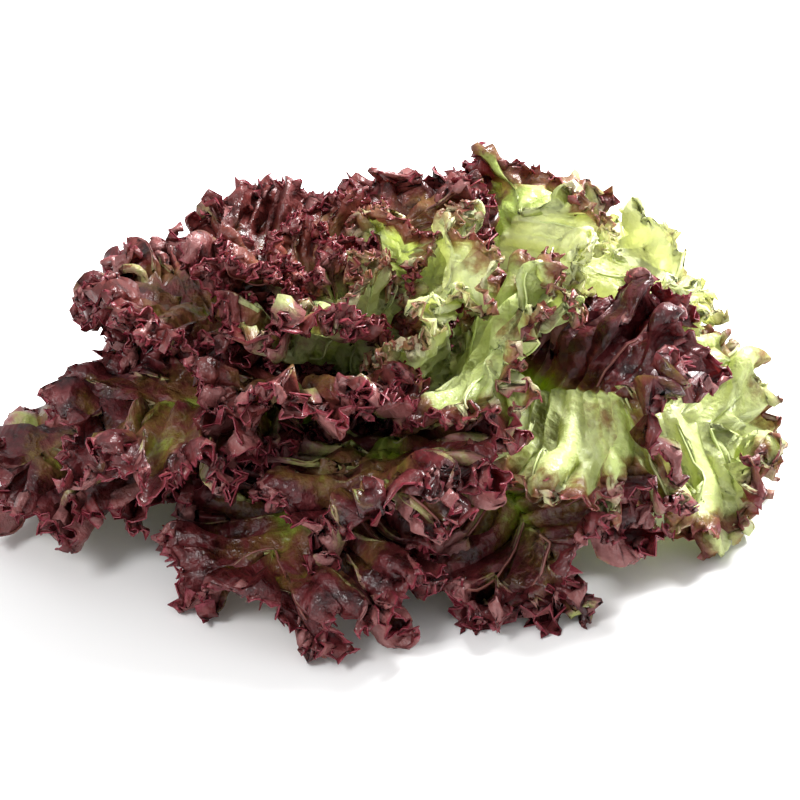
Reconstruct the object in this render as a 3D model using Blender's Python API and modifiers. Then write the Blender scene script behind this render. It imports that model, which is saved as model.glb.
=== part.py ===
"""A cut head of frilled red leaf lettuce, lying on its outer leaves.

Every leaf grows from a short cone-shaped stem and keeps to its own layer round the head's leaning axis,
so that no leaf crosses another. A layer is a number from 0, which lies along the table, to 1, the axis.
Metres, +Z up. The origin is on the table, under the middle of the head.
"""

import math
import random

import bmesh
import bpy
from mathutils import Vector

MM = 0.001

# The head
FOOT = Vector((31.0 * MM, 2.4 * MM, 11.0 * MM))  # middle of the stem's cut face
LEAN = math.radians(34)  # of the head's axis from the vertical
LEAN_HEADING = math.radians(197)  # the way it leans, from +X
REACH_MEAN = 123 * MM  # from the stem to where an outer leaf comes down
REACH_SWING = 26 * MM  # more than that on the side the head lies on, less on the other
REACH_LONGEST_AT = math.radians(-6)  # azimuth of the longest leaves
REACH_SQUEEZE = 24 * MM  # more than that along the head's length, less across it
REACH_LENGTHWISE = math.radians(-18)  # azimuth of that length
PRESS = 9 * MM  # how far a leaf's tip would hang below the table if the table let it
BEND_OUTER = 0.50  # share by which a layer starts steeper and ends flatter than its mean
BEND_INNER = 0.75
BEND_HIGH_SIDE = 0.4  # how much of its wider opening adds to the bend on the side the head doesn't lie on

# The stem
STEM_RADIUS = 14 * MM
STEM_HEIGHT = 44 * MM
STEM_TIP_RADIUS = 2.5 * MM
STEM_EDGE = 1.2 * MM  # rounding of its cut face's edge
STEM_LEAF_GAP = 0.5 * MM
FIRST_LEAF_HEIGHT = 5 * MM

# A leaf
BLADE_THICKNESS = 0.9 * MM
MIDRIB_THICKNESS = 2.6 * MM
BASE_HALF_WIDTH = 0.17  # share of the leaf's half width
WIDEST_AT = 0.63  # share of the leaf's length
BLUNTNESS = 0.72  # of the leaf's end: 1 is round, less is squarer
MIDRIB_END = 0.76
TIP_FANS_FROM = 0.87  # share of the margin past which its points all spread from the midrib's end
NOTCH = 0.045  # how far the margin is cut in between two ruffles, as a share of the length
FRILL_STARTS = 0.30  # share of the way from midrib to margin
ROWS = (0.0, 0.22, 0.47, 0.75, 1.0)  # shares of that way where the mesh has its rows
COARSE_ROWS = 3  # the first rows have every second column only
COLUMNS_PER_RUFFLE = 4
LEAF_PLACES = ("azimuth", "layer", "along", "half")  # what each point of a leaf's mesh keeps
LAYER_STEP = 0.001  # for measuring which way and how fast the layers rise
STEEPEST = 0.42  # cosine of the steepest slope across the layers that still gets its full thickness
TOUCHING = 0.002 * MM

# How neighbours in a whorl pass each other, in shares of the angle between two of them: a leaf's half angle
# at the stem and at its widest, and where its tilt has turned fully from one layer to the other
ROOT_WRAP = 0.43
WIDEST_WRAP = 0.66
TILT_TURNS_BY = 0.34

# Each whorl of leaves, from the outside in: how many, their layer, their length as a share of the reach,
# their half width, the ruffles round the margin, the layers between one leaf's low side and its
# neighbour's high side, and the ruffles' depth in layers at the tip and at the sides
WHORLS = (
    dict(count=7, layer=0.085, length=1.00, wide=70 * MM, ruffles=12, rise=0.096, deep=0.077, side=0.033),
    dict(count=6, layer=0.260, length=0.94, wide=68 * MM, ruffles=12, rise=0.098, deep=0.072, side=0.031),
    dict(count=5, layer=0.440, length=0.84, wide=62 * MM, ruffles=11, rise=0.088, deep=0.056, side=0.028),
    dict(count=4, layer=0.609, length=0.73, wide=54 * MM, ruffles=10, rise=0.086, deep=0.057, side=0.028),
    dict(count=4, layer=0.753, length=0.63, wide=42 * MM, ruffles=9, rise=0.080, deep=0.051, side=0.026),
    dict(count=3, layer=0.888, length=0.55, wide=28 * MM, ruffles=8, rise=0.064, deep=0.046, side=0.020),
)
FIRST_LEAF_AT = math.radians(-9)  # azimuth of the outermost whorl's first leaf
WHORL_TURN = math.radians(137.5)  # from one whorl's first leaf to the next one's
SEED = 13

LEAF_COLOURS = ((0.10, 0.012, 0.022), (0.17, 0.035, 0.03), (0.26, 0.08, 0.05))  # outer, middle, heart
STEM_COLOUR = (0.72, 0.74, 0.46)


def head_axes():
    """The head's own axis, the direction square to it on the side it leans to, and the third one."""
    heading = Vector((math.cos(LEAN_HEADING), math.sin(LEAN_HEADING), 0))
    axis = heading * math.sin(LEAN) + Vector((0, 0, math.cos(LEAN)))
    low_side = heading * math.cos(LEAN) - Vector((0, 0, math.sin(LEAN)))
    return axis, low_side, axis.cross(low_side)


AXIS, LOW_SIDE, CROSS_SIDE = head_axes()


def reach_at(azimuth, layer):
    """How far a layer's leaves go; round the axis they are all alike, along the table they are not."""
    swing = REACH_SWING * math.cos(azimuth - REACH_LONGEST_AT)
    squeeze = REACH_SQUEEZE * math.cos(2 * (azimuth - REACH_LENGTHWISE))
    return REACH_MEAN + swing * (1 - 0.4 * layer) + squeeze * (1 - layer)


def stem_radius_at(height):
    return STEM_RADIUS + (STEM_TIP_RADIUS - STEM_RADIUS) * height / STEM_HEIGHT


def root_of(layer):
    """Height up the stem and distance from its axis where a layer starts."""
    height = FIRST_LEAF_HEIGHT + (STEM_HEIGHT - FIRST_LEAF_HEIGHT) * max(layer, 0)
    return height, stem_radius_at(height) + STEM_LEAF_GAP + 0.5 * BLADE_THICKNESS


def layer_arc(azimuth, layer):
    """Starting angle from the head's axis and bend per metre of a layer at one azimuth."""
    outward = LOW_SIDE * math.cos(azimuth) + CROSS_SIDE * math.sin(azimuth)
    roots = [FOOT + AXIS * height + outward * radius for height, radius in (root_of(0), root_of(layer))]
    to_table = math.atan2(AXIS.z, -outward.z)
    reach = reach_at(azimuth, layer)
    fall = math.asin((roots[0].z + PRESS) / (0.95 * reach * math.hypot(AXIS.z, outward.z)))
    opening = (1 - layer) * (to_table + fall * (1 - layer))
    half_bend = opening * (BEND_OUTER + (BEND_INNER - BEND_OUTER) * layer)
    lowest_opening = 0.5 * math.pi - LEAN
    half_bend *= (lowest_opening + BEND_HIGH_SIDE * (to_table - lowest_opening)) / to_table
    return roots[1], outward, opening - half_bend, 2 * half_bend / reach


def layer_point(azimuth, layer, along):
    """The point on a layer at this azimuth round the head, this far along from the stem."""
    root, outward, start, bend = layer_arc(azimuth, layer)
    end = start + bend * along
    up = (math.sin(end) - math.sin(start)) / bend
    out = (math.cos(start) - math.cos(end)) / bend
    return root + AXIS * up + outward * out


def distance_from_axis(azimuth, layer, along):
    offset = layer_point(azimuth, layer, along) - FOOT
    return (offset - AXIS * offset.dot(AXIS)).length


def smooth_step(low, high, value):
    x = min(max((value - low) / (high - low), 0), 1)
    return x * x * (3 - 2 * x)


def margin_point(share):
    """The flat leaf's margin, from its base at 0 to its tip at 1: (half width, length) as shares."""
    if share < 0.5:
        climb = share / 0.5
        wide = BASE_HALF_WIDTH + (1 - BASE_HALF_WIDTH) * math.sin(0.5 * math.pi * climb) ** 1.7
        return wide, WIDEST_AT * climb
    turn = 0.5 * math.pi * (share - 0.5) / 0.5
    return max(math.cos(turn), 0) ** BLUNTNESS, WIDEST_AT + (1 - WIDEST_AT) * math.sin(turn)


def tilt_at(turned):
    """From -1 on a leaf's low side to 1 on its high side; turned is in shares of the leaves' spacing."""
    held = min(max(turned / TILT_TURNS_BY, -1), 1)
    return math.sin(0.5 * math.pi * held)


def leaf_place(leaf, side, out):
    """Azimuth, layer and length along it of a point of the leaf. side runs along the margin from -1 through
    the tip at 0 to 1, and out from the midrib to the margin.
    """
    share = 1 - abs(side)
    half_width, far = margin_point(share)
    wave = math.sin(math.pi * leaf["ruffles"] * (side + 1) + leaf["phase"])
    frill = smooth_step(FRILL_STARTS, 1, out) * smooth_step(0.03, 0.30, share)
    notch = 1 - NOTCH * frill * (1 - abs(wave))
    from_midrib = MIDRIB_END * min(share / TIP_FANS_FROM, 1) ** 1.15
    run = (from_midrib + (far - from_midrib) * out ** 1.1) * notch
    along = run * leaf["length"]
    radius = distance_from_axis(leaf["azimuth"], leaf["layer"], max(along, 0))
    spacing = 2 * math.pi / leaf["count"]
    wrap = spacing * (ROOT_WRAP + (WIDEST_WRAP - ROOT_WRAP) * smooth_step(0.12, 0.50, run))
    margin_turn = wrap * math.tanh(half_width * leaf["wide"] / (radius * wrap))
    turn = math.copysign(margin_turn * out * notch, side)
    turned = turn / spacing
    depth = leaf["deep"] + (leaf["side"] - leaf["deep"]) * smooth_step(0.18, TILT_TURNS_BY, abs(turned))
    layer = leaf["layer"] + 0.5 * leaf["rise"] * tilt_at(turned) + depth * frill * wave
    return leaf["azimuth"] + turn, layer, along


def layer_on_table(azimuth, layer, along, height):
    """The layer itself, or the lowest one above it that is at this height over the table."""
    if layer_point(azimuth, layer, along).z >= height:
        return layer
    low, high = layer, 1.0
    for _ in range(40):
        middle = 0.5 * (low + high)
        if layer_point(azimuth, middle, along).z < height:
            low = middle
        else:
            high = middle
    return high


def leaves():
    """Every leaf's own values, from the outside in."""
    draw = random.Random(SEED)
    turn = FIRST_LEAF_AT
    for whorl in WHORLS:
        for place in range(whorl["count"]):
            azimuth = turn + 2 * math.pi * (place + draw.uniform(-0.02, 0.02)) / whorl["count"]
            azimuth = math.remainder(azimuth, 2 * math.pi)
            reach = reach_at(azimuth, whorl["layer"])
            length = whorl["length"] * reach * draw.uniform(0.95, 1.0)
            wide = whorl["wide"] * math.sqrt(reach / REACH_MEAN)
            phase = 0.5 * math.pi * draw.randrange(4)
            yield dict(whorl, azimuth=azimuth, length=length, wide=wide, phase=phase)
        turn += WHORL_TURN


def leaf_sheet(leaf):
    """The leaf's middle surface: a grid folded along the midrib, with its outer row as the margin.
    Every point keeps its azimuth, layer and length along it, and half its thickness counted in layers.
    """
    bm = bmesh.new()
    columns = COLUMNS_PER_RUFFLE * leaf["ruffles"]
    bmesh.ops.create_grid(bm, x_segments=columns, y_segments=len(ROWS) - 1, size=1)
    places = [bm.verts.layers.float.new(name) for name in LEAF_PLACES]
    midrib = BLADE_THICKNESS + (MIDRIB_THICKNESS - BLADE_THICKNESS) * (1 - leaf["layer"])
    for vert in bm.verts:
        column = round(0.5 * (vert.co.x + 1) * columns)
        row = round(0.5 * (vert.co.y + 1) * (len(ROWS) - 1))
        if row < COARSE_ROWS:
            column = 2 * round(0.5 * column)
        side = 2 * column / columns - 1
        azimuth, layer, along = leaf_place(leaf, side, ROWS[row])
        layer = layer_on_table(azimuth, layer, along, 0.5 * BLADE_THICKNESS)
        ribbed = smooth_step(0.08, 1, abs(side)) if row == 0 else 0
        half = 0.5 * (BLADE_THICKNESS + (midrib - BLADE_THICKNESS) * ribbed)
        for place, value in zip(places, (azimuth, layer, along, half)):
            vert[place] = value
        vert.co = layer_point(azimuth, layer, along)
    bmesh.ops.triangulate(bm, faces=bm.faces, quad_method="SHORT_EDGE")
    bmesh.ops.remove_doubles(bm, verts=bm.verts, dist=0.01 * MM)
    bm.normal_update()
    for vert in bm.verts:
        azimuth, layer, along, half = (vert[place] for place in places)
        across = (layer_point(azimuth, layer + LAYER_STEP, along) - vert.co) / LAYER_STEP
        slants = [max(abs(face.normal.dot(across.normalized())), STEEPEST) for face in vert.link_faces]
        vert[places[3]] = half * sum(1 / slant for slant in slants) / len(slants) / across.length
    return bm, places


def leaf_blade(leaf):
    """The closed blade: both its faces are the middle surface moved along the layers, so they never cross."""
    bm, places = leaf_sheet(leaf)
    made = bmesh.ops.extrude_face_region(bm, geom=bm.faces[:], use_keep_orig=True)
    upper = {item for item in made["geom"] if isinstance(item, bmesh.types.BMVert)}
    for vert in bm.verts:
        azimuth, layer, along, half = (vert[place] for place in places)
        lowest = layer_on_table(azimuth, layer - half, along, 0)
        if vert in upper:
            vert.co = layer_point(azimuth, max(layer + half, lowest + 2 * half), along)
        else:
            vert.co = layer_point(azimuth, lowest, along)
            if vert.co.z < TOUCHING:
                vert.co.z = 0
    bmesh.ops.triangulate(bm, faces=[face for face in bm.faces if len(face.verts) > 3])
    bmesh.ops.recalc_face_normals(bm, faces=bm.faces)
    return bm


def material(name, colour, roughness):
    made = bpy.data.materials.new(name)
    made.use_nodes = True
    shader = made.node_tree.nodes["Principled BSDF"]
    shader.inputs["Base Color"].default_value = (*colour, 1)
    shader.inputs["Roughness"].default_value = roughness
    return made


def make_leaf(name, leaf, collection, finish):
    mesh = bpy.data.meshes.new(name)
    bm = leaf_blade(leaf)
    bm.to_mesh(mesh)
    bm.free()
    for place in LEAF_PLACES:
        mesh.attributes.remove(mesh.attributes[place])
    obj = bpy.data.objects.new(name, mesh)
    collection.objects.link(obj)
    obj.data.materials.append(finish)
    return obj


def make_stem(collection):
    """The short stem, cut flat at its foot and drawn in to the growing tip: a turned profile."""
    profile = [
        (0, STEM_HEIGHT),
        (0.7 * STEM_TIP_RADIUS, STEM_HEIGHT - 0.3 * STEM_TIP_RADIUS),
        (STEM_TIP_RADIUS, STEM_HEIGHT - STEM_TIP_RADIUS),
        (stem_radius_at(STEM_EDGE), STEM_EDGE),
        (STEM_RADIUS - STEM_EDGE, 0),
        (0, 0),
    ]
    mesh = bpy.data.meshes.new("stem")
    bm = bmesh.new()
    verts = [bm.verts.new((radius, 0, height)) for radius, height in profile]
    for upper, lower in zip(verts, verts[1:]):
        bm.edges.new((upper, lower))
    bm.to_mesh(mesh)
    bm.free()
    obj = bpy.data.objects.new("stem", mesh)
    collection.objects.link(obj)
    turned = obj.modifiers.new("turned", "SCREW")
    turned.steps = turned.render_steps = 24
    turned.use_merge_vertices = True
    turned.merge_threshold = 0.05 * MM
    obj.location = FOOT
    obj.rotation_euler = AXIS.to_track_quat("Z", "Y").to_euler()
    obj.data.materials.append(material("stem", STEM_COLOUR, 0.5))
    return obj


def main():
    for obj in list(bpy.data.objects):
        bpy.data.objects.remove(obj)
    head = bpy.data.collections.new("red_leaf_lettuce")
    bpy.context.scene.collection.children.link(head)
    make_stem(head)
    finishes = [material(f"leaf_{i}", c, 0.45) for i, c in enumerate(LEAF_COLOURS)]
    for number, leaf in enumerate(leaves(), 1):
        make_leaf(f"leaf_{number:02d}", leaf, head, finishes[int(3 * leaf["layer"])])


main()
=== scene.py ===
import math
import random

import bpy
import numpy as np
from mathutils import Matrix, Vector


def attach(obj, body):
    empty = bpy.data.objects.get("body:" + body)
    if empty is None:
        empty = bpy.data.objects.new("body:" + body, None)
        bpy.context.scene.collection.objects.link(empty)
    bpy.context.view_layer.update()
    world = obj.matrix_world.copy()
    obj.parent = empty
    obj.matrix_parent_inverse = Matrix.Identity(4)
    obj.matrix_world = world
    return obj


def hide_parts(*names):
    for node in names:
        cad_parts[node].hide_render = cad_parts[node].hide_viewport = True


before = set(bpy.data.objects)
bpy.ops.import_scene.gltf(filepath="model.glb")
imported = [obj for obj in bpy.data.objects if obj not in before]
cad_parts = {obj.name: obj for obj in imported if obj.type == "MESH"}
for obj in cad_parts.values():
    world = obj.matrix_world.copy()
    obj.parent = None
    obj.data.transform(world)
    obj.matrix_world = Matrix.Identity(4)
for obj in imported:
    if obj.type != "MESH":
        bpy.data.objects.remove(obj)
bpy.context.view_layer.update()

# The stem: one short pale cone of firm flesh, cut flat at its foot with a knife. The leaves grow from its side,
# and what is left of the oldest ones, which were picked off, shows as low scars round the foot.
MM = 0.001
FOOT = np.array((31.0, 2.4, 11.0)) * MM
LEAN = math.radians(34)
LEAN_HEADING = math.radians(197)
STEM_RADIUS = 14 * MM
STEM_HEIGHT = 44 * MM
STEM_TIP_RADIUS = 2.5 * MM
STEM_EDGE = 1.2 * MM
STEM_RINGS = 40
STEM_SIDES = 96
STEM_DISHED = 0.5 * MM  # the cut flesh dries and draws in a little
FACE_RINGS = (0.25, 0.5, 0.75, 0.94)  # rings of the cut face, as shares of its radius
FURROWS = 5
FURROW_DEEP = 0.35 * MM
FURROW_TWIST = 400.0  # radians a metre
heading = np.array((math.cos(LEAN_HEADING), math.sin(LEAN_HEADING), 0))
upright = np.array((0, 0, 1.0))
AXIS = heading * math.sin(LEAN) + upright * math.cos(LEAN)
LOW_SIDE = heading * math.cos(LEAN) - upright * math.sin(LEAN)
CROSS_SIDE = np.cross(AXIS, LOW_SIDE)


def plain_mesh(name, points, triangles, values=None, uv=None):
    """A smooth mesh object of these points and triangles, with named values at its points."""
    mesh = bpy.data.meshes.new(name)
    mesh.vertices.add(len(points))
    mesh.vertices.foreach_set("co", points.astype(np.float32).ravel())
    mesh.loops.add(3 * len(triangles))
    mesh.loops.foreach_set("vertex_index", triangles.astype(np.int32).ravel())
    mesh.polygons.add(len(triangles))
    mesh.polygons.foreach_set("loop_start", np.arange(len(triangles), dtype=np.int32) * 3)
    mesh.update(calc_edges=True)
    mesh.shade_smooth()
    for key, value in (values or {}).items():
        mesh.attributes.new(key, "FLOAT", "POINT").data.foreach_set("value", value.astype(np.float32))
    if uv is not None:
        layer = mesh.uv_layers.new(name="leaf")
        layer.data.foreach_set("uv", uv[triangles.ravel()].astype(np.float32).ravel())
    made = bpy.data.objects.new(name, mesh)
    bpy.context.scene.collection.objects.link(made)
    return made


def set_up(tree, made, values):
    """The node with these values: a socket is linked; any other is set, by input number or name or as a property."""
    inputs = {}
    for key, value in values.items():
        if key.startswith("at_"):
            inputs[int(key[3:])] = value
        elif key.startswith("in_"):
            inputs[key[3:].replace("_", " ")] = value
        else:
            setattr(made, key, value)
    for key, value in inputs.items():
        if isinstance(value, bpy.types.NodeSocket):
            tree.links.new(value, made.inputs[key])
        else:
            made.inputs[key].default_value = value
    return made


class Finish:
    """A material being put together, node by node."""

    def __init__(self, name):
        self.material = bpy.data.materials.new(name)
        self.material.use_nodes = True
        self.tree = self.material.node_tree
        self.tree.nodes.clear()
        self.output = self.tree.nodes.new("ShaderNodeOutputMaterial")

    def node(self, kind, **values):
        return set_up(self.tree, self.tree.nodes.new("ShaderNode" + kind), values)

    def math(self, operation, first, second=0.0):
        return self.node("Math", operation=operation, at_0=first, at_1=second).outputs[0]

    def span(self, value, low, high, to_low=0.0, to_high=1.0, way="SMOOTHSTEP"):
        """The value's place between low and high, held at both ends."""
        made = self.node("MapRange", interpolation_type=way, in_Value=value)
        for key, number in zip(("From Min", "From Max", "To Min", "To Max"), (low, high, to_low, to_high)):
            made.inputs[key].default_value = number
        return made.outputs["Result"]

    def mix(self, share, first, second):
        """Two colours, plain or sockets, mixed by a share."""
        made = self.node("Mix", data_type="RGBA", clamp_factor=True)
        for index, value in ((0, share), (6, first), (7, second)):
            if isinstance(value, bpy.types.NodeSocket):
                self.tree.links.new(value, made.inputs[index])
            elif index:
                made.inputs[index].default_value = (*value, 1)
            else:
                made.inputs[index].default_value = value
        return made.outputs[2]

    def noise(self, scale, detail=2.0, roughness=0.5, vector=None):
        made = self.node("TexNoise", in_Scale=scale, in_Detail=detail, in_Roughness=roughness)
        self.tree.links.new(vector or self.place(), made.inputs["Vector"])
        return made.outputs["Fac"]

    def place(self):
        return self.node("TexCoord").outputs["Object"]

    def value(self, name):
        """A value kept at the mesh's points."""
        return self.node("Attribute", attribute_name=name).outputs["Fac"]


def frame_point(height, radius, azimuth):
    """A point by its height up the head's axis, its distance from it and its azimuth round it."""
    outward = np.cos(azimuth)[..., None] * LOW_SIDE + np.sin(azimuth)[..., None] * CROSS_SIDE
    return FOOT + height[..., None] * AXIS + radius[..., None] * outward


def stem_radius_at(height):
    return STEM_RADIUS + (STEM_TIP_RADIUS - STEM_RADIUS) * height / STEM_HEIGHT


# Profile, from the middle of the cut face round its edge and up to the growing tip
rise = np.linspace(0, 1, STEM_RINGS)
side_height = STEM_EDGE + (STEM_HEIGHT - STEM_EDGE) * rise
profile_height = np.concatenate(([STEM_DISHED] * len(FACE_RINGS), [0.3 * STEM_EDGE], side_height))
face_radius = STEM_RADIUS - STEM_EDGE
face_rings = face_radius * np.array(FACE_RINGS)
profile_radius = np.concatenate((face_rings, [face_radius + 0.6 * STEM_EDGE], stem_radius_at(side_height)))
turns = np.arange(STEM_SIDES) * 2 * math.pi / STEM_SIDES
furrow = FURROW_DEEP * np.sin(FURROWS * turns[None, :] + FURROW_TWIST * profile_height[:, None])
furrow *= np.clip((profile_height[:, None] - STEM_EDGE) / (2 * MM), 0, 1)
stem_points = frame_point(
    np.broadcast_to(profile_height[:, None], furrow.shape), profile_radius[:, None] - np.abs(furrow),
    np.broadcast_to(turns, furrow.shape)).reshape(-1, 3)
rings = len(profile_height)
stem_points = np.vstack((stem_points, FOOT + STEM_DISHED * AXIS, FOOT + (STEM_HEIGHT + 0.5 * STEM_TIP_RADIUS) * AXIS))
ring, step = np.meshgrid(np.arange(rings - 1), np.arange(STEM_SIDES), indexing="ij")
a, b = ring * STEM_SIDES + step, ring * STEM_SIDES + (step + 1) % STEM_SIDES
c, d = a + STEM_SIDES, b + STEM_SIDES
around = np.arange(STEM_SIDES)
beside = (around + 1) % STEM_SIDES
last = (rings - 1) * STEM_SIDES
middle, top = rings * STEM_SIDES + 0 * around, rings * STEM_SIDES + 1 + 0 * around
stem_faces = np.vstack((
    np.stack((a, b, d), -1).reshape(-1, 3), np.stack((a, d, c), -1).reshape(-1, 3),
    np.stack((middle, beside, around), -1), np.stack((top, last + around, last + beside), -1)))
stem_cut = np.concatenate((np.repeat(profile_height < STEM_EDGE, STEM_SIDES), [True, False])).astype(float)
stem_out = np.concatenate((np.repeat(profile_radius / STEM_RADIUS, STEM_SIDES), [0, 0]))
stem = plain_mesh("cut_stem", stem_points, stem_faces, dict(cut=stem_cut, out=stem_out))

flesh = Finish("stem_flesh")
browned = flesh.math("MULTIPLY", flesh.value("cut"), flesh.span(flesh.noise(420, 3), 0.35, 0.75))
ring_of_sap = flesh.math("MULTIPLY", flesh.value("cut"), flesh.span(
    flesh.math("ABSOLUTE", flesh.math("SUBTRACT", flesh.value("out"), 0.72)), 0.07, 0.0))
colour = flesh.mix(flesh.noise(130, 3), (0.62, 0.68, 0.33), (0.80, 0.80, 0.55))
colour = flesh.mix(browned, colour, (0.42, 0.22, 0.10))
colour = flesh.mix(ring_of_sap, colour, (0.70, 0.52, 0.28))
shader = flesh.node("BsdfPrincipled", in_Base_Color=colour, in_Roughness=0.45)
shader.inputs["Subsurface Weight"].default_value = 0.1
shader.inputs["Subsurface Scale"].default_value = 3 * MM
bump = flesh.node("Bump", in_Strength=0.4, in_Distance=0.3 * MM, in_Height=flesh.noise(900, 4))
flesh.tree.links.new(bump.outputs[0], shader.inputs["Normal"])
flesh.tree.links.new(shader.outputs[0], flesh.output.inputs[0])
stem.data.materials.append(flesh.material)
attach(stem, "root")
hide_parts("stem")

# Leaf scars: the low oval heels of the oldest leaves, which were picked off when the head was trimmed. They follow
# the same spiral round the stem as the leaves do, and the milky sap that they bled has dried on them.
SCARS = 11
SCAR_LONG = 3.4 * MM
SCAR_HIGH = 1.1 * MM
SCAR_PROUD = 0.55 * MM
SCAR_CLIMB = 0.22 * MM  # each is this much higher than the one before
SCAR_SUNK = 0.1 * MM
SCAR_TURN = math.radians(137.5)
SCAR_SEED = 4


class Tree:
    """A geometry node tree being put together; its modifier's result becomes a plain mesh."""

    def __init__(self, name, **inputs):
        self.tree = bpy.data.node_groups.new(name, "GeometryNodeTree")
        self.tree.interface.new_socket("Geometry", in_out="INPUT", socket_type="NodeSocketGeometry")
        self.tree.interface.new_socket("Geometry", in_out="OUTPUT", socket_type="NodeSocketGeometry")
        self.keys = {}
        for key, (kind, value) in inputs.items():
            socket = self.tree.interface.new_socket(key, in_out="INPUT", socket_type="NodeSocket" + kind)
            if value is not None:
                socket.default_value = value
            self.keys[key] = socket.identifier
        self.given = self.tree.nodes.new("NodeGroupInput")
        self.result = self.tree.nodes.new("NodeGroupOutput")

    def node(self, kind, prefix="GeometryNode", **values):
        return set_up(self.tree, self.tree.nodes.new(prefix + kind), values)

    def value_at_points(self, name, kind="FLOAT"):
        return self.node("InputNamedAttribute", data_type=kind, in_Name=name).outputs["Attribute"]

    def end(self, shape, material):
        """Realize Instances and Set Material, the tree's last two nodes."""
        whole = self.node("RealizeInstances", in_Geometry=shape)
        coated = self.node("SetMaterial", in_Geometry=whole.outputs[0], in_Material=material)
        self.tree.links.new(coated.outputs[0], self.result.inputs[0])

    def grow(self, name, base, **values):
        """A plain mesh object made of what the tree makes of this mesh, with its inputs set."""
        before = bpy.data.objects.new(name + "_paths", base)
        bpy.context.scene.collection.objects.link(before)
        modifier = before.modifiers.new(self.tree.name, "NODES")
        modifier.node_group = self.tree
        for key, value in values.items():
            modifier[self.keys[key]] = value
        shaped = before.evaluated_get(bpy.context.evaluated_depsgraph_get())
        after = bpy.data.objects.new(name, bpy.data.meshes.new_from_object(shaped))
        after.data.name = name
        if after.data.materials[0] is None:  # a primitive in the tree brings an empty slot
            after.data.materials.pop(index=0)
        bpy.context.scene.collection.objects.link(after)
        bpy.data.objects.remove(before)
        return after


scar_number = np.arange(SCARS)
scar_azimuth = scar_number * SCAR_TURN
scar_height = STEM_EDGE + SCAR_HIGH + SCAR_CLIMB * scar_number
scar_places = frame_point(scar_height, stem_radius_at(scar_height) - SCAR_SUNK, scar_azimuth)
scar_facing = scar_places - frame_point(scar_height, np.zeros(SCARS), scar_azimuth)
heels = bpy.data.meshes.new("heels")
heels.from_pydata(scar_places.tolist(), [], [])
facing = heels.attributes.new("facing", "FLOAT_VECTOR", "POINT")
facing.data.foreach_set("vector", scar_facing.astype(np.float32).ravel())

scars = Tree("spiral_of_scars", Long=("Float", SCAR_LONG), High=("Float", SCAR_HIGH), Proud=("Float", SCAR_PROUD),
             Seed=("Int", SCAR_SEED))
oval = scars.node("MeshIcoSphere", in_Radius=1.0, in_Subdivisions=3)
outward = scars.node("AlignRotationToVector", "FunctionNode", axis="Z", pivot_axis="AUTO",
                     in_Vector=scars.value_at_points("facing", "FLOAT_VECTOR"))
upward = scars.node("AlignRotationToVector", "FunctionNode", axis="Y", pivot_axis="Z",
                    in_Rotation=outward.outputs[0], in_Vector=tuple(AXIS))
half_size = scars.node("CombineXYZ", "ShaderNode", at_0=scars.given.outputs["Long"], at_1=scars.given.outputs["High"],
                       at_2=scars.given.outputs["Proud"])
uneven = scars.node("RandomValue", "FunctionNode", data_type="FLOAT_VECTOR", in_Min=(0.75, 0.7, 0.6),
                    in_Max=(1.0, 1.0, 1.0), in_Seed=scars.given.outputs["Seed"])
size = scars.node("VectorMath", "ShaderNode", operation="MULTIPLY", at_0=half_size.outputs[0], at_1=uneven.outputs[0])
placed = scars.node("InstanceOnPoints", in_Points=scars.given.outputs["Geometry"], in_Instance=oval.outputs[0],
                    in_Rotation=upward.outputs[0], in_Scale=size.outputs[0])
dried = Finish("dried_sap")
dried_shade = dried.mix(dried.span(dried.noise(700, 3), 0.35, 0.7), (0.62, 0.56, 0.34), (0.36, 0.20, 0.10))
dried_bump = dried.node("Bump", in_Strength=0.5, in_Distance=0.2 * MM, in_Height=dried.noise(1500, 3))
dried_shader = dried.node("BsdfPrincipled", in_Base_Color=dried_shade, in_Roughness=0.5,
                          in_Normal=dried_bump.outputs[0])
dried.tree.links.new(dried_shader.outputs[0], dried.output.inputs[0])
scars.end(placed.outputs[0], dried.material)
leaf_scars = scars.grow("leaf_scars", heels, Long=SCAR_LONG, High=SCAR_HIGH, Proud=SCAR_PROUD, Seed=SCAR_SEED)
leaf_scars.data.shade_smooth()
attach(leaf_scars, "root")

# The leaves: thin, crisp, blistered blades on a fleshy midrib. Each grows from the stem in its own layer, from 0
# along the table to 1 at the head's axis. The blade grows faster at its margin than inside, so the margin buckles
# into ruffles that carry smaller ruffles, and it ends in sharp teeth.
REACH_MEAN = 123 * MM
REACH_SWING = 26 * MM
REACH_LONGEST_AT = math.radians(-6)
REACH_SWING_FADES = 0.4  # the swing's share that is gone at the axis
REACH_SQUEEZE = 24 * MM
REACH_LENGTHWISE = math.radians(-18)
PRESS = 9 * MM  # the lowest leaves press this much on the table
LIES_BY = 0.95  # the share of its reach where a leaf meets the table
BEND_OUTER = 0.50
BEND_INNER = 0.75
BEND_HIGH_SIDE = 0.4
STEM_LEAF_GAP = 0.5 * MM
FIRST_LEAF_HEIGHT = 5 * MM
ROOT_CLEAR = 0.45 * MM
BASE_HALF_WIDTH = 0.17
WIDEST_AT = 0.63
WIDENS_BY = 1.7
BLUNTNESS = 0.72
MIDRIB_END = 0.76
MIDRIB_PACE = 1.15
BLADE_PACE = 1.1
TIP_FANS_FROM = 0.87
NOTCH = 0.045
FRILL_STARTS = 0.30
FRILL_FULL_ALONG = (0.03, 0.30)
ROOT_WRAP = 0.43
WIDEST_WRAP = 0.66
WRAP_OPENS = (0.12, 0.50)
TILT_TURNS_FROM = 0.18
TILT_TURNS_BY = 0.34
WHORL_TURN = math.radians(137.5)
FIRST_LEAF_AT = math.radians(-9)
SEED = 13
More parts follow.
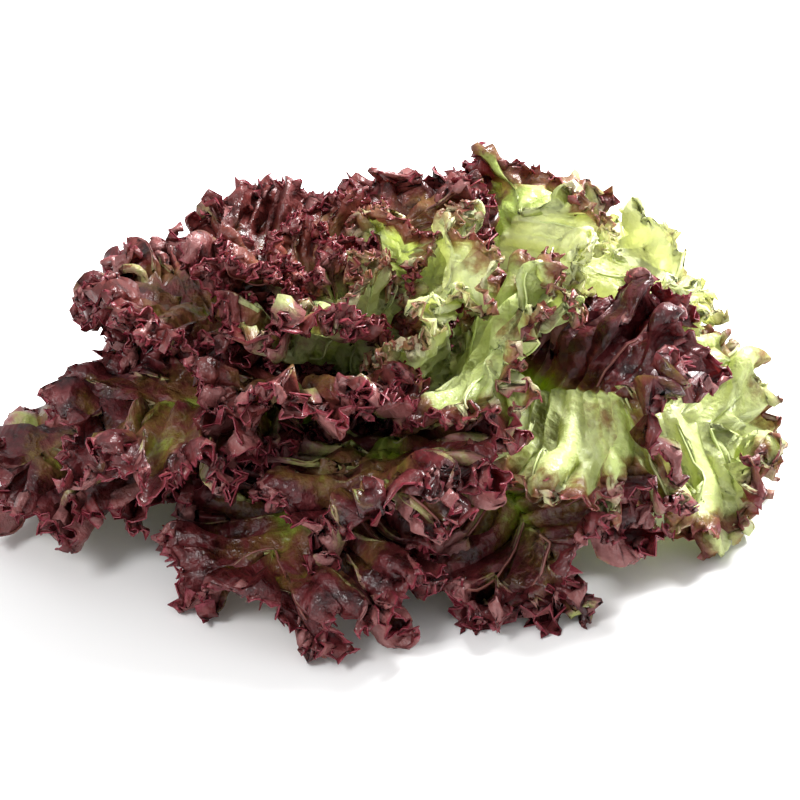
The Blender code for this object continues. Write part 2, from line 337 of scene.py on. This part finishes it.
WHORLS = (
    dict(count=7, layer=0.085, length=1.00, wide=70 * MM, ruffles=12, rise=0.096, deep=0.077, side=0.033),
    dict(count=6, layer=0.260, length=0.94, wide=68 * MM, ruffles=12, rise=0.098, deep=0.072, side=0.031),
    dict(count=5, layer=0.440, length=0.84, wide=62 * MM, ruffles=11, rise=0.088, deep=0.056, side=0.028),
    dict(count=4, layer=0.609, length=0.73, wide=54 * MM, ruffles=10, rise=0.086, deep=0.057, side=0.028),
    dict(count=4, layer=0.753, length=0.63, wide=42 * MM, ruffles=9, rise=0.080, deep=0.051, side=0.026),
    dict(count=3, layer=0.888, length=0.55, wide=28 * MM, ruffles=8, rise=0.064, deep=0.046, side=0.020),
)


def reach_at(azimuth, layer):
    swing = REACH_SWING * np.cos(azimuth - REACH_LONGEST_AT)
    squeeze = REACH_SQUEEZE * np.cos(2 * (azimuth - REACH_LENGTHWISE))
    return REACH_MEAN + swing * (1 - REACH_SWING_FADES * layer) + squeeze * (1 - layer)


def root_of(layer):
    """Height up the stem and distance from its axis where a layer starts."""
    height = FIRST_LEAF_HEIGHT + (STEM_HEIGHT - FIRST_LEAF_HEIGHT) * np.maximum(layer, 0)
    return height, stem_radius_at(height) + STEM_LEAF_GAP + ROOT_CLEAR


def layer_points(azimuth, layer, along):
    """Where a layer is at these azimuths and lengths from the stem: an arc from the stem towards the table."""
    outward_z = np.cos(azimuth) * LOW_SIDE[2] + np.sin(azimuth) * CROSS_SIDE[2]
    low_height, low_radius = root_of(np.zeros_like(azimuth))
    root_z = FOOT[2] + low_height * AXIS[2] + low_radius * outward_z
    to_table = np.arctan2(AXIS[2], -outward_z)
    reach = reach_at(azimuth, layer)
    fall = np.arcsin((root_z + PRESS) / (LIES_BY * reach * np.hypot(AXIS[2], outward_z)))
    opening = (1 - layer) * (to_table + fall * (1 - layer))
    half_bend = opening * (BEND_OUTER + (BEND_INNER - BEND_OUTER) * layer)
    lowest_opening = 0.5 * math.pi - LEAN
    half_bend = half_bend * (lowest_opening + BEND_HIGH_SIDE * (to_table - lowest_opening)) / to_table
    start, bend = opening - half_bend, 2 * half_bend / reach
    end = start + bend * along
    height, radius = root_of(layer)
    up = (np.sin(end) - np.sin(start)) / bend
    out = (np.cos(start) - np.cos(end)) / bend
    return frame_point(height + up, radius + out, azimuth)


def smooth_step(low, high, value):
    x = np.clip((value - low) / (high - low), 0, 1)
    return x * x * (3 - 2 * x)


def margin_point(share):
    """The flat leaf's margin, from its base at 0 to its tip at 1: (half width, length) as shares."""
    climb = np.clip(share / 0.5, 0, 1)
    wide = BASE_HALF_WIDTH + (1 - BASE_HALF_WIDTH) * np.sin(0.5 * math.pi * climb) ** WIDENS_BY
    turn = 0.5 * math.pi * np.clip((share - 0.5) / 0.5, 0, 1)
    beyond = share >= 0.5
    wide = np.where(beyond, np.maximum(np.cos(turn), 0) ** BLUNTNESS, wide)
    return wide, np.where(beyond, WIDEST_AT + (1 - WIDEST_AT) * np.sin(turn), WIDEST_AT * climb)


def grown_leaves():
    """Every leaf's own values, from the outside in: the same draws as its solid's."""
    draw = random.Random(SEED)
    turn = FIRST_LEAF_AT
    for whorl in WHORLS:
        for place in range(whorl["count"]):
            azimuth = turn + 2 * math.pi * (place + draw.uniform(-0.02, 0.02)) / whorl["count"]
            azimuth = math.remainder(azimuth, 2 * math.pi)
            reach = float(reach_at(azimuth, whorl["layer"]))
            length = whorl["length"] * reach * draw.uniform(0.95, 1.0)
            wide = whorl["wide"] * math.sqrt(reach / REACH_MEAN)
            phase = 0.5 * math.pi * draw.randrange(4)
            yield dict(whorl, azimuth=azimuth, length=length, wide=wide, phase=phase)
        turn += WHORL_TURN


MEANDER = 1.15  # over 1, a ruffle's walls lean out over its foot


def main_form(leaf, side, out):
    """The leaf with its large ruffles: side runs along the margin from -1 through the tip at 0 to 1, and out
    from the midrib to the margin.
    """
    wave_turn = math.pi * leaf["ruffles"] * (side + 1) + leaf["phase"]
    frill = smooth_step(FRILL_STARTS, 1, out) * smooth_step(*FRILL_FULL_ALONG, 1 - np.abs(side))
    slid = side - MEANDER * frill * np.sin(2 * wave_turn) / (2 * math.pi * leaf["ruffles"])
    share = np.clip(1 - np.abs(slid), 0, 1)
    half_width, far = margin_point(share)
    wave = np.sin(wave_turn)
    notch = 1 - NOTCH * frill * (1 - np.abs(wave))
    from_midrib = MIDRIB_END * np.minimum(share / TIP_FANS_FROM, 1) ** MIDRIB_PACE
    run = (from_midrib + (far - from_midrib) * out ** BLADE_PACE) * notch
    along = run * leaf["length"]
    own_azimuth, own_layer = np.full_like(along, leaf["azimuth"]), np.full_like(along, leaf["layer"])
    offset = layer_points(own_azimuth, own_layer, np.maximum(along, 0)) - FOOT
    radius = np.linalg.norm(offset - (offset @ AXIS)[..., None] * AXIS, axis=-1)
    spacing = 2 * math.pi / leaf["count"]
    wrap = spacing * (ROOT_WRAP + (WIDEST_WRAP - ROOT_WRAP) * smooth_step(*WRAP_OPENS, run))
    turn = wrap * np.tanh(half_width * leaf["wide"] / (radius * wrap)) * out * notch * np.sign(slid)
    turned = turn / spacing
    to_side = smooth_step(TILT_TURNS_FROM, TILT_TURNS_BY, np.abs(turned))
    depth = leaf["deep"] + (leaf["side"] - leaf["deep"]) * to_side
    tilt = np.sin(0.5 * math.pi * np.clip(turned / TILT_TURNS_BY, -1, 1))
    layer = leaf["layer"] + 0.5 * leaf["rise"] * tilt + depth * frill * wave
    azimuth = leaf["azimuth"] + turn
    return lifted_off_table(azimuth, layer, along), run


LIFT_HEIGHT = 0.5 * MM
HALVINGS = 24


def lifted_off_table(azimuth, layer, along):
    """The points; where they would be under the table, on the lowest layer that isn't."""
    points = layer_points(azimuth, layer, along)
    sunk = points[..., 2] < LIFT_HEIGHT
    azimuth, along, low = azimuth[sunk], along[sunk], layer[sunk]
    high = np.ones_like(low)
    for _ in range(HALVINGS):
        halfway = 0.5 * (low + high)
        under = layer_points(azimuth, halfway, along)[..., 2] < LIFT_HEIGHT
        low, high = np.where(under, halfway, low), np.where(under, high, halfway)
    points[sunk] = layer_points(azimuth, high, along)
    return points


# Rows of the leaf's mesh from midrib to margin, and how many times each group of rows doubles its columns
ROW_GROUPS = (
    (0.0, 0.03, 0.075, 0.13, 0.20, 0.28, 0.37, 0.46, 0.54),
    (0.61, 0.67, 0.725, 0.775, 0.82, 0.855),
    (0.88, 0.902, 0.922, 0.940, 0.956),
    (0.968, 0.979),
    (0.990, 1.0),
)


def leaf_net(coarse):
    """The mesh's net: each point's side and out, its finest column, the triangles of one face, its rim and the
    points of each row.
    """
    rows = [(out, group) for group, outs in enumerate(ROW_GROUPS) for out in outs]
    sides, outs, fine, index_of = [], [], [], []
    finest = coarse * 2 ** (len(ROW_GROUPS) - 1)
    count = 0
    for number, (out, group) in enumerate(rows):
        columns = coarse * 2 ** group
        at = np.arange(columns + 1)
        if number == 0:
            folded = np.minimum(at, columns - at)
            index_of.append(folded)
            at = at[:columns // 2 + 1]
        else:
            index_of.append(count + at)
        sides.append(2 * at / columns - 1)
        outs.append(np.full(len(at), out))
        fine.append(at * (finest // columns))
        count += len(at)
    triangles = []
    for number in range(len(rows) - 1):
        inner, outer = index_of[number], index_of[number + 1]
        if len(inner) == len(outer):
            i = np.arange(len(inner) - 1)
            left = i < len(i) // 2 - (number == 0)  # so that the two halves share no face at the folded tip
            a, b, c, d = inner[i], inner[i + 1], outer[i], outer[i + 1]
            triangles.append(np.where(left[:, None], np.stack((a, b, d), -1), np.stack((a, b, c), -1)))
            triangles.append(np.where(left[:, None], np.stack((a, d, c), -1), np.stack((b, d, c), -1)))
        else:
            i = np.arange(len(inner) - 1)
            a, b = inner[i], inner[i + 1]
            c, d, e = outer[2 * i], outer[2 * i + 1], outer[2 * i + 2]
            triangles += [np.stack((a, d, c), -1), np.stack((a, b, d), -1), np.stack((b, e, d), -1)]
    triangles = np.vstack(triangles)
    first, second, third = triangles.T
    flat = (first == second) | (second == third) | (first == third)
    rim = np.concatenate(([line[0] for line in index_of], index_of[-1][1:-1], [line[-1] for line in index_of[::-1]]))
    side, out, column = np.concatenate(sides), np.concatenate(outs), np.concatenate(fine)
    return side, out, column, triangles[~flat][:, ::-1], rim[::-1], index_of


def unit(vectors):
    return vectors / np.maximum(np.linalg.norm(vectors, axis=1), 1e-12)[:, None]


def gathered(at_triangles, triangles, count):
    """Each point's sum of its triangles' vectors."""
    total = np.empty((count, 3))
    corners = triangles.ravel()
    for k in range(3):
        total[:, k] = np.bincount(corners, np.repeat(at_triangles[:, k], 3), count)
    return total


def evened(vectors, triangles, passes):
    """Directions at the points, evened out over their neighbours."""
    for _ in range(passes):
        vectors = unit(gathered(vectors[triangles].sum(axis=1), triangles, len(vectors)))
    return vectors


def point_normals(points, triangles, passes=0):
    first, second, third = (points[triangles[:, i]] for i in range(3))
    square = np.cross(second - first, third - first)
    return evened(unit(gathered(square, triangles, len(points))), triangles, passes)


def wander(draw, places, swings):
    """A smooth random run between -1 and 1 along the places, which go from 0 to 1."""
    knots = draw.uniform(-1, 1, swings + 2)
    at = np.clip(places, 0, 1) * swings
    knot = np.minimum(at.astype(int), swings)
    part = at - knot
    part = part * part * (3 - 2 * part)
    return knots[knot] * (1 - part) + knots[knot + 1] * part


def along_columns(points, index_of):
    """For every point the way out to the margin along its column, as a direction, and how far that is."""
    way = np.zeros_like(points)
    left = np.zeros(len(points))
    for inner, outer in zip(index_of[-2::-1], index_of[:0:-1]):
        step = 1 if len(inner) == len(outer) else 2
        ahead = outer[::step]
        gap = points[ahead] - points[inner]
        far = np.linalg.norm(gap, axis=1)
        way[inner] = gap / np.maximum(far, 1e-9)[:, None]
        left[inner] = left[ahead] + far
    edge, before = index_of[-1], index_of[-2]
    gap = points[edge] - points[before]
    way[edge] = gap / np.maximum(np.linalg.norm(gap, axis=1), 1e-9)[:, None]
    return way, left


def margin_run(points, index_of, fine):
    """For every point, how far along the ruffled margin its column ends."""
    edge = points[index_of[-1]]
    steps = np.linalg.norm(np.diff(edge, axis=0), axis=1)
    run = np.concatenate(([0], np.cumsum(steps)))
    return run[fine], run[-1]


BLADE_HALF = 0.26 * MM
BLISTER_WAVES = 7
ROLL_UNEVEN = 0.35
RUFFLES_UNEVEN = 0.55
TOOTH_ROOT = 1.3 * MM  # how far into the blade a tooth's pull reaches
TOOTH_SHARP = 1.5
TOOTH_HOLLOW = 0.3  # the share of a tooth's height that lies inside the smooth margin
SETTLES_UNDER = 1.3 * MM  # points lower than this are eased up, and none ends lower than 0.4 mm
SETTLES_BY = 0.9 * MM
TABLE_GAP = 0.02 * MM
MIDRIB_WIDE = 0.05  # as a share of the way out to the margin
FLESHY_BASE = 0.6 * MM
VEIN_SUNK = 0.45 * MM  # the middle of the side veins, under the blade's lower face


def grow_leaf(leaf, seed, looks):
    """One closed leaf: points, triangles, values, places on the leaf, the spine of its side veins and its rows."""
    draw = np.random.default_rng(seed)
    side, out, fine, triangles, rim, index_of = leaf_net(looks["columns"] * leaf["ruffles"])
    points, run = main_form(leaf, side, out)
    rooted = smooth_step(0.03, 0.25, 1 - np.abs(side))

    # The blade is blistered between its veins
    normals = point_normals(points, triangles, 2)
    blister = np.zeros(len(points))
    for wavelength, depth in looks["blisters"]:
        for _ in range(BLISTER_WAVES):
            across = draw.normal(size=3)
            across *= 2 * math.pi / np.linalg.norm(across) / wavelength
            blister += depth * np.sin(points @ across + draw.uniform(0, 2 * math.pi)) / BLISTER_WAVES
    points = points + normals * (blister * smooth_step(0.15, 0.45, run) * rooted)[:, None]

    # The margin rolls over, down on the ruffles' crests and up in their hollows
    way, left = along_columns(points, index_of)
    way = evened(way, triangles, 6)
    normals = point_normals(points, triangles, 6)
    along_edge, edge_length = margin_run(points, index_of, fine)
    where = along_edge / edge_length
    wave_turn = math.pi * leaf["ruffles"] * (side + 1) + leaf["phase"]
    roll_from = looks["roll_width"] * (1 + ROLL_UNEVEN * wander(draw, where, 3 * leaf["ruffles"]))
    reached = np.maximum(roll_from - left, 0)
    curl = looks["roll"] * (np.sin(wave_turn) + 0.6 * wander(draw, where, 4 * leaf["ruffles"])) / roll_from
    curl = np.where(np.abs(curl) < 1, 1.0, curl) * rooted
    bent = curl * reached
    straight = np.abs(bent) < 1e-4
    safe = np.where(straight, 1.0, curl)
    onward = np.where(straight, reached, np.sin(bent) / safe)
    aside = np.where(straight, 0.5 * bent * reached, (1 - np.cos(bent)) / safe)
    points = points + way * (onward - reached)[:, None] - normals * aside[:, None]

    # Smaller ruffles ride on the large ones, and still smaller ones on those
    for wavelength, depth, width, lean in looks["small_ruffles"]:
        way, left = along_columns(points, index_of)
        normals = point_normals(points, triangles, 5)
        along_edge, edge_length = margin_run(points, index_of, fine)
        where = along_edge / edge_length
        waves = edge_length / wavelength
        swings = max(int(waves / 2), 2)
        drift = 3.0 * wander(draw, where, swings) * np.minimum(left / width, 1.5)
        turn = 2 * math.pi * along_edge / wavelength + 1.5 * wander(draw, where, swings) + drift
        strength = depth * (1 + RUFFLES_UNEVEN * wander(draw, where, swings))
        fade = np.exp(-((left / width) ** 1.6)) * rooted
        sideways = np.cross(normals, way)
        points = points + normals * (strength * fade * np.sin(turn))[:, None]
        points = points + sideways * (lean * strength * fade * np.sin(2 * turn))[:, None]

    # Teeth
    way, left = along_columns(points, index_of)
    along_edge, edge_length = margin_run(points, index_of, fine)
    where = along_edge / edge_length
    pitch = looks["tooth_pitch"]
    turn = along_edge / pitch + 0.3 * wander(draw, where, int(edge_length / pitch / 2))
    height = looks["tooth"] * (1 + 0.7 * wander(draw, where, int(edge_length / pitch / 1.3)))
    tooth = (1 - np.abs(np.sin(math.pi * turn))) ** TOOTH_SHARP - TOOTH_HOLLOW
    points = points + way * (height * tooth * np.exp(-left / TOOTH_ROOT) * rooted)[:, None]

    # Nothing goes through the table
    z = points[:, 2]
    eased = np.exp((np.minimum(z, SETTLES_UNDER) - SETTLES_UNDER) / SETTLES_BY)
    points[:, 2] = np.where(z < SETTLES_UNDER, SETTLES_UNDER - SETTLES_BY + SETTLES_BY * eased, z)

    # Two faces and a rim
    normals = point_normals(points, triangles)
    ribbed = np.exp(-(out / MIDRIB_WIDE) ** 2) * smooth_step(1.0, 0.35, run / MIDRIB_END)
    fleshy = smooth_step(0.30, 0.0, run) * smooth_step(0.8, 0.0, out)
    under = BLADE_HALF + looks["rib"] * ribbed + FLESHY_BASE * fleshy
    upper_points = points + normals * (BLADE_HALF * (1 + 0.3 * ribbed))[:, None]
    under_points = points - normals * under[:, None]
    under_points[:, 2] = np.maximum(under_points[:, 2], TABLE_GAP)
    count = len(points)
    a, b = rim[:-1], rim[1:]
    band = np.vstack((np.stack((a, a + count, b + count), -1), np.stack((a, b + count, b), -1)))
    faces = np.vstack((triangles, triangles[:, ::-1] + count, band))
    everything = np.vstack((upper_points, under_points))
    first, second, third = (everything[faces[:, i]] for i in range(3))
    volume = np.einsum("ij,ij->i", first, np.cross(second, third)).sum()
    adaxial = np.concatenate((np.ones(count), np.zeros(count)))
    if volume < 0:
        faces = faces[:, ::-1]
    values = dict(adaxial=adaxial, run=np.tile(run, 2), out=np.tile(out, 2), edge=np.tile(left, 2) / MM)
    uv = np.stack(((side + 1) * 0.5 * leaf["ruffles"], out), -1)
    spine = points - normals * (BLADE_HALF + VEIN_SUNK)
    return everything, faces, values, np.tile(uv, (2, 1)), (spine, index_of)


# How each kind of leaf is finished: blisters by length and height; small ruffles by length, depth, how far in they
# reach and how far their walls lean
LOOKS = dict(
    outer=dict(columns=8, blisters=((30 * MM, 6 * MM), (12 * MM, 3 * MM)), roll_width=10 * MM, roll=1.1, rib=2.2 * MM,
               tooth=3.6 * MM, tooth_pitch=6.2 * MM,
               small_ruffles=((20 * MM, 5.4 * MM, 46 * MM, 0.5), (9 * MM, 1.9 * MM, 15 * MM, 0.35),
                              (5 * MM, 0.6 * MM, 6 * MM, 0.2))),
    middle=dict(columns=8, blisters=((25 * MM, 5 * MM), (10 * MM, 2.6 * MM)), roll_width=9 * MM, roll=1.1,
                rib=1.6 * MM, tooth=3.0 * MM, tooth_pitch=5.4 * MM,
                small_ruffles=((16 * MM, 4.6 * MM, 38 * MM, 0.5), (6.5 * MM, 1.8 * MM, 12 * MM, 0.35))),
    heart=dict(columns=9, blisters=((18 * MM, 3 * MM), (8 * MM, 2 * MM)), roll_width=6 * MM, roll=1.1, rib=1.0 * MM,
               tooth=1.9 * MM, tooth_pitch=3.1 * MM,
               small_ruffles=((8 * MM, 2.7 * MM, 22 * MM, 0.45), (3.7 * MM, 1.3 * MM, 8 * MM, 0.35))),
)


# Colours of the blade's upper and lower face, in the dark and the light of its mottling, or green and pale. The pale
# ends, near white, are partly the pale flesh of leaves that grew in shade and partly painted light, standing in for
# the glare of the lamp behind the head at the right
UPPER_GREEN = ((0.36, 0.46, 0.030), (0.93, 0.99, 0.56))
LOWER_GREEN = ((0.42, 0.49, 0.12), (0.90, 0.95, 0.56))
LOWER_RED = ((0.17, 0.045, 0.045), (0.38, 0.16, 0.15))
BRONZE_DARK = (0.115, 0.060, 0.018)
BRONZE_LIGHT = dict(grown=(0.30, 0.125, 0.055), young=(0.50, 0.25, 0.11))
MAROON_DARK = dict(grown=(0.024, 0.004, 0.005), young=(0.085, 0.014, 0.010))
MAROON_LIGHT = dict(grown=(0.125, 0.016, 0.019), young=(0.270, 0.066, 0.042))
VEIN_COLOURS = ((0.66, 0.72, 0.34), (0.30, 0.085, 0.085))
FLUSHED_MARGIN = (0.25, 0.055, 0.055)
LINED_MARGIN = (0.28, 0.022, 0.050)
THROUGH_GREEN = ((0.60, 0.78, 0.08), (0.97, 0.98, 0.60))
THROUGH_RED = (0.36, 0.035, 0.03)


def by_age(colours, young):
    return tuple(a + young * (b - a) for a, b in zip(colours["grown"], colours["young"]))


def leaf_finish(name, young):
    """Green flesh that the sun has turned bronze and then maroon; dull and mauve on the underside. Young leaves
    are a lighter red-brown.
    """
    made = Finish(name)
    place = made.place()
    blotches = made.noise(48, 2, 0.6, place)
    mottle = made.noise(150, 2, 0.6, place)
    grain = made.noise(560, 2, 0.65, place)
    redness = made.value("redness")
    for pattern, reach in ((blotches, 0.85), (mottle, 0.45), (grain, 0.25)):
        redness = made.math("ADD", redness, made.math("MULTIPLY", made.math("SUBTRACT", pattern, 0.5), reach))
    # Paleness; near white on the leaves at the back right, where it is painted light for the lamp's glare behind them
    pale = made.value("pale")
    edge = made.value("edge")
    bronze = made.mix(mottle, BRONZE_DARK, by_age(BRONZE_LIGHT, young))
    maroon = made.mix(made.span(mottle, 0.3, 0.7), by_age(MAROON_DARK, young), by_age(MAROON_LIGHT, young))
    upper = made.mix(made.span(redness, 0.20, 0.48), made.mix(pale, *UPPER_GREEN), bronze)
    upper = made.mix(made.span(redness, 0.42 + 0.08 * young, 0.72 + 0.16 * young), upper, maroon)
    lower = made.mix(made.span(redness, 0.35, 0.80), made.mix(pale, *LOWER_GREEN), made.mix(mottle, *LOWER_RED))
    colour = made.mix(made.value("adaxial"), lower, upper)
    uv = made.node("UVMap", uv_map="leaf")
    across = made.node("SeparateXYZ", at_0=uv.outputs[0])
    sway = made.math("MULTIPLY", made.math("SUBTRACT", mottle, 0.5), 0.35)
    column = made.math("ADD", across.outputs[0], sway)
    veins = None
    for each, starts, width in ((1, 0.0, 0.045), (3, 0.25, 0.05), (9, 0.55, 0.07)):
        turn = made.math("FRACT", made.math("MULTIPLY", column, float(each)))
        near = made.math("ABSOLUTE", made.math("SUBTRACT", turn, 0.5))
        line = made.span(near, width, 0.0)
        line = made.math("MULTIPLY", line, made.span(across.outputs[1], starts, starts + 0.25))
        line = made.math("MULTIPLY", line, 1.0 / (1 + 0.35 * (each - 1)))
        veins = line if veins is None else made.math("MAXIMUM", veins, line)
    vein = made.mix(made.span(redness, 0.3, 0.7), *VEIN_COLOURS)
    colour = made.mix(made.math("MULTIPLY", veins, 0.4), colour, vein)
    flushed = made.math("MULTIPLY", made.span(edge, 9.0, 0.5), made.span(redness, 0.15, 0.55))
    colour = made.mix(made.math("MULTIPLY", flushed, 0.42), colour, FLUSHED_MARGIN)
    lined = made.math("MULTIPLY", made.span(edge, 1.3, 0.2), made.span(redness, 0.10, 0.40))
    colour = made.mix(made.math("MULTIPLY", lined, 0.65), colour, LINED_MARGIN)
    cells = made.node("TexVoronoi", feature="F1", in_Scale=230.0, in_Vector=place)
    cell_height = made.math("MULTIPLY", cells.outputs["Distance"], 0.8)
    height = made.math("ADD", cell_height, made.math("MULTIPLY", grain, 0.5))
    height = made.math("ADD", height, made.math("MULTIPLY", mottle, 0.9))
    bump = made.node("Bump", in_Strength=0.8, in_Distance=1.4 * MM, in_Height=height)
    rough = made.span(mottle, 0.3, 0.7, 0.20, 0.50, "LINEAR")
    shader = made.node("BsdfPrincipled", in_Base_Color=colour, in_Roughness=rough, in_Normal=bump.outputs[0])
    shader.inputs["Specular IOR Level"].default_value = 0.55
    through = made.mix(made.span(redness, 0.3, 0.8), made.mix(pale, *THROUGH_GREEN), THROUGH_RED)
    glow = made.node("BsdfTranslucent", in_Color=through, in_Normal=bump.outputs[0])
    blend = made.node("MixShader", at_0=made.span(redness, 0.2, 0.7, 0.50, 0.25))
    made.tree.links.new(shader.outputs[0], blend.inputs[1])
    made.tree.links.new(glow.outputs[0], blend.inputs[2])
    made.tree.links.new(blend.outputs[0], made.output.inputs[0])
    return made.material


# The side veins: round cords of firm flesh that stand out of the blade's underside and hold it stiff. Each grew as
# one with the blade, leaves the midrib for the middle of a ruffle and thins out before the margin.
VEIN_HALF = dict(outer=0.50 * MM, middle=0.40 * MM, heart=0.30 * MM)
VEIN_THINS_BY = 0.72
VEIN_ENDS_AT = 0.90
VEIN_SIDES = 6
veins_tree = Tree("raised_veins", Thick=("Float", VEIN_HALF["outer"]), Sides=("Int", VEIN_SIDES))
as_curves = veins_tree.node("MeshToCurve", in_Mesh=veins_tree.given.outputs["Geometry"])
tapered = veins_tree.node("SetCurveRadius", in_Curve=as_curves.outputs[0],
                          in_Radius=veins_tree.value_at_points("taper"))
round_bead = veins_tree.node("CurvePrimitiveCircle", in_Radius=veins_tree.given.outputs["Thick"],
                             in_Resolution=veins_tree.given.outputs["Sides"])
tubes = veins_tree.node("CurveToMesh", in_Curve=tapered.outputs[0], in_Profile_Curve=round_bead.outputs[0],
                        in_Fill_Caps=True)
cream = Finish("vein_flesh")
cream_shade = cream.mix(cream.noise(300, 2), (0.50, 0.60, 0.20), (0.64, 0.72, 0.34))
cream_red = cream.mix(cream.noise(300, 2), (0.14, 0.040, 0.034), (0.23, 0.080, 0.060))
cream_shade = cream.mix(cream.span(cream.value("redness"), 0.25, 0.60), cream_shade, cream_red)
cream_shader = cream.node("BsdfPrincipled", in_Base_Color=cream_shade, in_Roughness=0.4)
cream.tree.links.new(cream_shader.outputs[0], cream.output.inputs[0])
veins_tree.end(tubes.outputs[0], cream.material)


def vein_paths(name, ruffles, columns, spine, index_of, redness):
    """The side veins of one leaf as a mesh of edges, with how thick and how red each point is."""
    rows = [(out, group) for group, outs in enumerate(ROW_GROUPS) for out in outs]
    places, edges, taper, red = [], [], [], []
    for vein in range(ruffles):
        column = vein * columns + columns // 2
        path = [line[column * 2 ** group] for line, (out, group) in zip(index_of, rows) if out <= VEIN_ENDS_AT]
        first = len(places)
        places += spine[path].tolist()
        edges += [(first + step, first + step + 1) for step in range(len(path) - 1)]
        taper += [1.0 - VEIN_THINS_BY * out / VEIN_ENDS_AT for out, _ in rows[:len(path)]]
        red += redness[path].tolist()
    paths = bpy.data.meshes.new(name)
    paths.from_pydata(places, edges, [])
    paths.attributes.new("taper", "FLOAT", "POINT").data.foreach_set("value", taper)
    paths.attributes.new("redness", "FLOAT", "POINT").data.foreach_set("value", red)
    return paths


# The groups of leaves, each with the number of its last leaf
GROUPS = (("outer", 13), ("middle", 22), ("heart", 29))
# How far each leaf stayed green, because others shaded it; the rest are red almost to their base. Values near and
# over 1 also make a leaf pale to near white, which is partly painted light for the glare of the lamp behind
SHADED = {
    1: 0.10, 2: 0.05, 3: 0.0, 4: 0.82, 5: 0.90, 6: 0.4, 7: 0.3, 8: (0.82, -0.25), 9: 1.1, 10: 0.7, 11: 0.1, 12: 0.12,
    13: 0.08, 14: 0.2, 15: 0.05, 16: 0.05, 17: 0.70, 18: (1.1, 0.35), 19: 0.45, 20: 0.92, 21: 0.20, 22: 0.0, 23: 0.70,
    24: 0.20, 25: 0.10, 26: 0.75, 27: 0.25, 28: 0.15, 29: 0.2}
finishes = {group: leaf_finish(f"{group}_blade", young) for (group, _), young in zip(GROUPS, (0.0, 0.3, 1.0))}
for number, leaf in enumerate(grown_leaves(), 1):
    group = next(name for name, last in GROUPS if number <= last)
    points, faces, values, uv, (spine, index_of) = grow_leaf(leaf, SEED * 100 + number, LOOKS[group])
    shaded = SHADED[number]
    if isinstance(shaded, tuple):
        shaded = shaded[0] + (shaded[1] - shaded[0]) * smooth_step(0.36, 0.60, uv[:, 0] / leaf["ruffles"])
    run, outness = values.pop("run"), values.pop("out")
    sunned = 1 - shaded
    blade = smooth_step(0.06, 0.50, 0.5 * run + 0.5 * outness)
    margin = smooth_step(20, 2, values["edge"]) * smooth_step(0.15, 0.45, run)
    values["redness"] = 0.66 * sunned * blade + (0.35 + 0.21 * sunned) * margin
    # Paleness: pale at the base and on leaves grown in shade; its near-white end on the most shaded leaves is painted
    # light, standing in for the glare of the lamp behind the head at the right
    palest = 0.4 + 0.5 * shaded
    paling = palest + (1 - palest) * smooth_step(1.1, 0.1, run)
    values["pale"] = np.clip((0.12 + 0.98 * shaded) * paling + 0.4 * smooth_step(0.4, 0.0, run), 0, 1)
    made = plain_mesh(f"frilled_leaf_{number:02d}", points, faces, values, uv)
    made.data.materials.append(finishes[group])
    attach(made, "root")
    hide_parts(f"leaf_{number:02d}")
    paths = vein_paths(f"veins_{number:02d}", leaf["ruffles"], LOOKS[group]["columns"], spine, index_of,
                       values["redness"])
    veins = veins_tree.grow(f"leaf_{number:02d}_veins", paths, Thick=VEIN_HALF[group], Sides=VEIN_SIDES)
    veins.data.shade_smooth()
    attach(veins, "root")

# The table that the head lies on, plain and pale, and round it the studio: an even white room, a large lamp behind
# at the right, which shines through the lime leaves, and a weaker one in front at the left
floor = bpy.data.objects.new("table_top", bpy.data.meshes.new("table_top"))
TABLE_HALF = 3.0
floor.data.from_pydata([(x * TABLE_HALF, y * TABLE_HALF, 0) for x, y in ((-1, -1), (1, -1), (1, 1), (-1, 1))], [],
                       [(0, 1, 2, 3)])
bpy.context.scene.collection.objects.link(floor)
paper = Finish("pale_table")
tint = paper.mix(paper.noise(3, 2), (0.86, 0.86, 0.86), (0.90, 0.90, 0.90))
board = paper.node("BsdfPrincipled", in_Base_Color=tint, in_Roughness=0.7)
paper.tree.links.new(board.outputs[0], paper.output.inputs[0])
floor.data.materials.append(paper.material)

world = bpy.data.worlds.new("studio")
world.use_nodes = True
world.node_tree.nodes["Background"].inputs["Color"].default_value = (1, 1, 1, 1)
world.node_tree.nodes["Background"].inputs["Strength"].default_value = 0.82
bpy.context.scene.world = world


def area_light(name, place, aim, size, power):
    lamp = bpy.data.lights.new(name, "AREA")
    lamp.shape = "DISK"
    lamp.size = size
    lamp.energy = power
    made = bpy.data.objects.new(name, lamp)
    bpy.context.scene.collection.objects.link(made)
    made.location = place
    made.rotation_euler = (Vector(aim) - Vector(place)).to_track_quat("-Z", "Y").to_euler()


area_light("key_light", (0.50, 0.50, 0.80), (0.04, 0, 0.05), 0.45, 33)
area_light("front_light", (-0.6, -0.6, 0.8), (0, 0, 0.05), 0.35, 7)

CAMERA_RISE = math.radians(31)
CAMERA_AWAY = 0.85
PIXEL = 0.359 * MM
PICTURE = 800
AIM = np.array((0.0070, -0.0048, 0.0330))
camera = bpy.data.cameras.new("camera")
camera.sensor_width = 36
camera.lens = 36 * CAMERA_AWAY / (PIXEL * PICTURE)
eye = bpy.data.objects.new("camera", camera)
bpy.context.scene.collection.objects.link(eye)
eye.location = AIM + CAMERA_AWAY * np.array((0, -math.cos(CAMERA_RISE), math.sin(CAMERA_RISE)))
eye.rotation_euler = (0.5 * math.pi - CAMERA_RISE, 0, 0)
bpy.context.scene.camera = eye
bpy.context.scene.view_settings.view_transform = "Standard"
